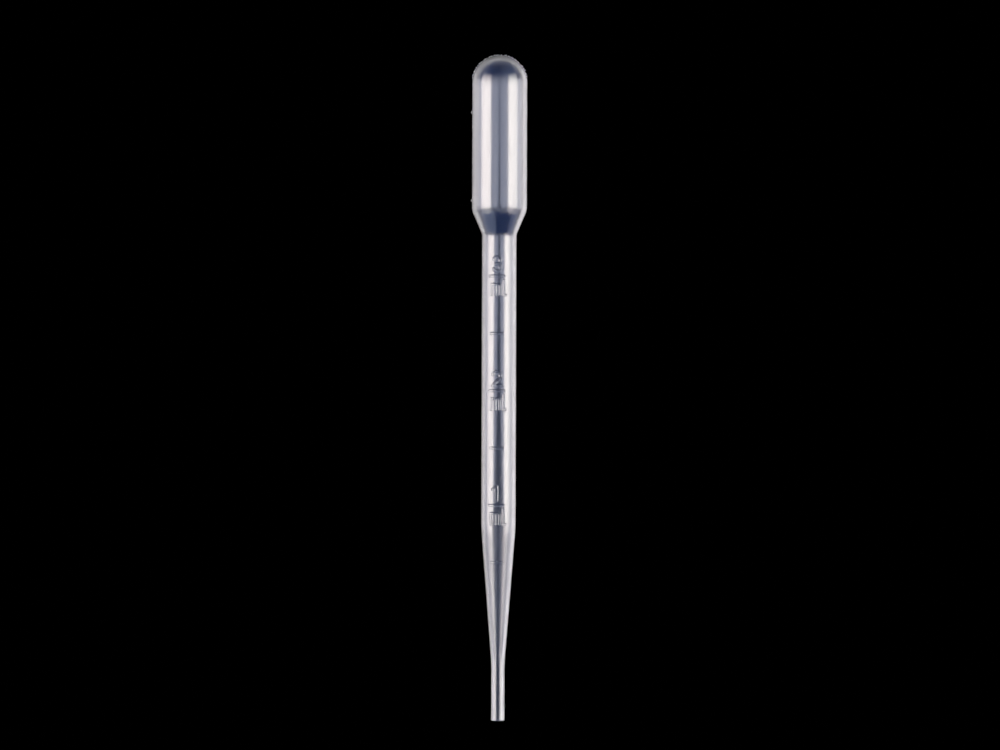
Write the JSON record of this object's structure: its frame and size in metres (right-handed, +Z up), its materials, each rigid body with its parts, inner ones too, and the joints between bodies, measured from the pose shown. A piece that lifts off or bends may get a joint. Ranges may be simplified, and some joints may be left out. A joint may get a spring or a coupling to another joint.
{
  "type": "graduated transfer pipette",
  "caption": "Soft one-piece plastic transfer pipette: domed squeeze bulb, graduated clear stem and a taper to a fine open tip.",
  "frame": {"origin": "centre of the open tip's end face, on the axis", "axes": "+Z up the axis from the tip to the bulb; -Y faces the reader of the scale; the bulb is pinched along X, which lies in the mould's parting plane"},
  "size_m": [0.0134, 0.0128, 0.155],
  "materials": {
    "clear_ldpe": "natural low-density polyethylene, glossy and faintly cloudy",
    "relief_ldpe": "the same plastic where the mould leaves raised lettering, parting line and trimmed flash"
  },
  "bodies": {
    "moulding": {"tip_tube": "clear_ldpe", "taper": "clear_ldpe", "barrel": "clear_ldpe", "shoulder": "clear_ldpe", "bulb_wall": "clear_ldpe", "bulb_dome": "clear_ldpe", "stem_parting_line": "relief_ldpe", "bulb_parting_line": "relief_ldpe", "dome_trim_flash": "relief_ldpe", "mould_nubs": "relief_ldpe", "mark_0_5_ml": "relief_ldpe", "mark_1_0_ml": "relief_ldpe", "mark_1_5_ml": "relief_ldpe", "mark_2_0_ml": "relief_ldpe", "mark_2_5_ml": "relief_ldpe", "mark_3_0_ml": "relief_ldpe", "figure_1": "relief_ldpe", "figure_2": "relief_ldpe", "figure_3": "relief_ldpe", "unit_1": "relief_ldpe", "unit_2": "relief_ldpe", "unit_3": "relief_ldpe"},
    "left_wall": {"left_squeeze_wall": "clear_ldpe"},
    "right_wall": {"right_squeeze_wall": "clear_ldpe"}
  },
  "joints": [
    {"name": "bulb_squeeze", "type": "slide", "parent": "moulding", "child": "left_wall", "axis": [1, 0, 0], "range_m": [0, 0.0048], "stiffness_N_per_m": 30},
    {"name": "bulb_squeeze_right", "type": "slide", "parent": "moulding", "child": "right_wall", "axis": [-1, 0, 0], "range_m": [0, 0.0048]}
  ],
  "couplings": [
    {"joint": "bulb_squeeze_right", "follows": "bulb_squeeze", "ratio": 1}
  ]
}
